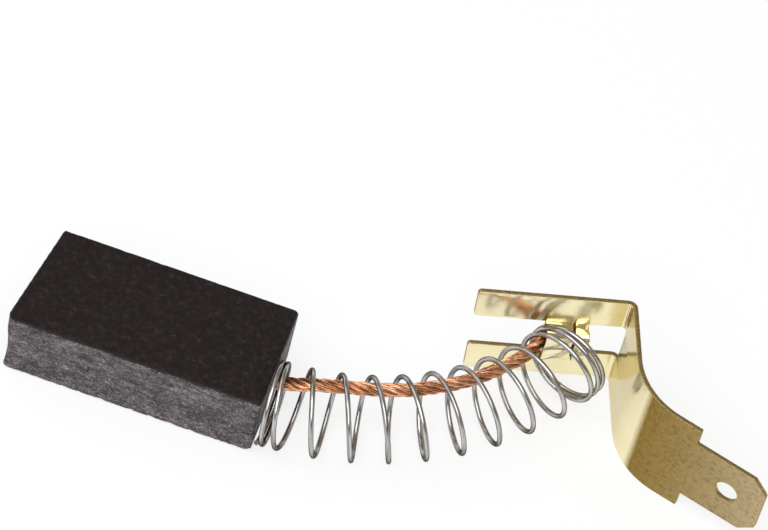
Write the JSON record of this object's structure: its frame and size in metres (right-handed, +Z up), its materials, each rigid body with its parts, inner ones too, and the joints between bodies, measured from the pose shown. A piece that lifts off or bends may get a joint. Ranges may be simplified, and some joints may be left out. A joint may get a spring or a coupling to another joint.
{
  "type": "carbon brush for a commutator motor",
  "caption": "Carbon motor brush: a pressed carbon block with a stranded copper shunt inside a bowed compression spring, crimped to a bent, forked brass terminal with a flat plug-in tab.",
  "frame": {"origin": "middle of the carbon block's underside, the broad face that it lies on", "axes": "+X from the working end of the block towards the spring and the terminal, +Z up, square to the broad faces; the spring bows towards +Y"},
  "size_m": [0.0588, 0.0196, 0.0095],
  "materials": {
    "carbon": "matt pressed carbon-graphite, faintly mottled",
    "copper_powder": "dull rammed copper powder",
    "copper": "bare stranded copper, satin",
    "spring_steel": "bright drawn spring wire",
    "brass": "rolled brass strip, satin, brown at the cut edges"
  },
  "bodies": {
    "root": {"carbon_block": "carbon", "tamping_plug": "copper_powder", "shunt": "copper", "spring": "spring_steel", "terminal": "brass"}
  },
  "joints": []
}
